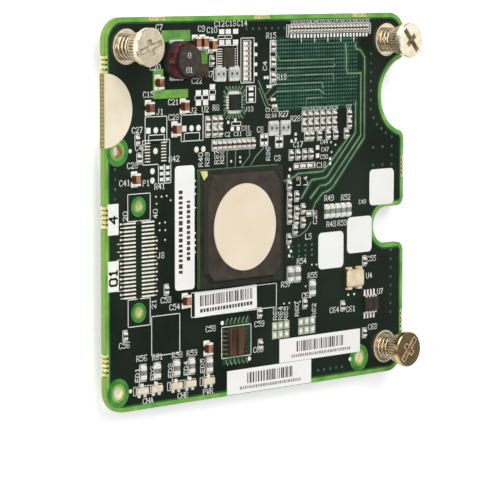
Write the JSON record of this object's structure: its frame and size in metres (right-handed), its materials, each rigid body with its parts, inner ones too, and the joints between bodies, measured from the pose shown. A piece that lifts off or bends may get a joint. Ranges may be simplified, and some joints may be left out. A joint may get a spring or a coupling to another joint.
{
  "type": "fibre channel host bus adapter",
  "caption": "Server mezzanine card: green board with notched edge, controller chip with round heat spreader, chip parts, labels, spring-loaded captive thumbscrews and an underside connector.",
  "frame": {"origin": "centre of the board in plan, level with the tips of the captive screws, which the card stands on", "axes": "+X along the board's long edge towards the notched edge, +Y along the short edge, +Z out of the component side"},
  "size_m": [0.1131, 0.1002, 0.0154],
  "materials": {
    "solder_mask": "satin dark green solder mask over glass-fibre board",
    "laminate": "green laminate",
    "mould": "grey-brown moulding compound",
    "chip_black": "black moulding compound",
    "nickel": "warm matt nickel plate",
    "screw_steel": "nickel-plated steel, turned",
    "spring_steel": "drawn spring wire",
    "solder": "tinned",
    "ferrite": "black ferrite",
    "copper": "enamelled copper wire",
    "brown_ceramic": "brown capacitor ceramic",
    "beige_ceramic": "beige capacitor ceramic",
    "resistor_body": "pale glazed ceramic",
    "gold_lid": "gold-plated lid",
    "cream_lens": "cream epoxy",
    "cream_paper": "cream sticker paper",
    "white_paper": "white label paper",
    "plug_plastic": "black glass-filled plastic",
    "contact_gold": "gold-plated contacts"
  },
  "bodies": {
    "card": {"circuit_board": "solder_mask", "controller_base": "laminate", "controller_cap": "mould", "controller_heat_spreader": "nickel", "controller_solder_balls": "solder", "inductor_core": "ferrite", "inductor_winding": "copper", "inductor_terminals": "solder", "diode_body": "chip_black", "diode_leads": "solder", "large_capacitor_bodies": "brown_ceramic", "large_capacitor_ends": "solder", "small_capacitors": "beige_ceramic", "chip_resistors": "resistor_body", "resistor_arrays": "resistor_body", "regulator_body": "chip_black", "regulator_leads": "solder", "flash_body": "chip_black", "flash_leads": "solder", "memory_body": "chip_black", "memory_leads": "solder", "leadless_chip_body": "chip_black", "leadless_chip_lands": "solder", "oscillator_base": "chip_black", "oscillator_lid": "gold_lid", "indicator_lights": "cream_lens", "indicator_light_leads": "solder", "folded_sticker": "cream_paper", "tall_label": "white_paper", "bar_code_label_left": "white_paper", "bar_code_label_right": "white_paper", "bar_code_label_low": "white_paper", "square_labels": "white_paper", "mezzanine_connector_housing": "plug_plastic", "mezzanine_connector_contacts": "contact_gold", "underside_capacitors": "beige_ceramic", "screw_retainer_top_left": "screw_steel", "screw_spring_top_left": "spring_steel", "screw_retainer_top_right": "screw_steel", "screw_spring_top_right": "spring_steel", "screw_retainer_bottom_right": "screw_steel", "screw_spring_bottom_right": "spring_steel"},
    "spring_seat_top_left": {"screw_washer_top_left": "spring_steel"},
    "screw_top_left": {"thumbscrew_top_left": "screw_steel"},
    "spring_seat_top_right": {"screw_washer_top_right": "spring_steel"},
    "screw_top_right": {"thumbscrew_top_right": "screw_steel"},
    "spring_seat_bottom_right": {"screw_washer_bottom_right": "spring_steel"},
    "screw_bottom_right": {"thumbscrew_bottom_right": "screw_steel"}
  },
  "joints": [
    {"name": "press_top_left", "type": "slide", "parent": "card", "child": "spring_seat_top_left", "axis": [0, 0, 1], "range_m": [-0.0018, 0], "stiffness_N_per_m": 600, "springref_m": 0.003, "deforming": ["screw_spring_top_left"]},
    {"name": "turn_top_left", "type": "hinge", "parent": "spring_seat_top_left", "child": "screw_top_left", "pos_m": [-0.0495, 0.0428, 0], "axis": [0, 0, 1], "continuous": true},
    {"name": "press_top_right", "type": "slide", "parent": "card", "child": "spring_seat_top_right", "axis": [0, 0, 1], "range_m": [-0.0018, 0], "stiffness_N_per_m": 600, "springref_m": 0.003, "deforming": ["screw_spring_top_right"]},
    {"name": "turn_top_right", "type": "hinge", "parent": "spring_seat_top_right", "child": "screw_top_right", "pos_m": [0.0486, 0.0428, 0], "axis": [0, 0, 1], "continuous": true},
    {"name": "press_bottom_right", "type": "slide", "parent": "card", "child": "spring_seat_bottom_right", "axis": [0, 0, 1], "range_m": [-0.0018, 0], "stiffness_N_per_m": 600, "springref_m": 0.003, "deforming": ["screw_spring_bottom_right"]},
    {"name": "turn_bottom_right", "type": "hinge", "parent": "spring_seat_bottom_right", "child": "screw_bottom_right", "pos_m": [0.0486, -0.0429, 0], "axis": [0, 0, 1], "continuous": true}
  ]
}
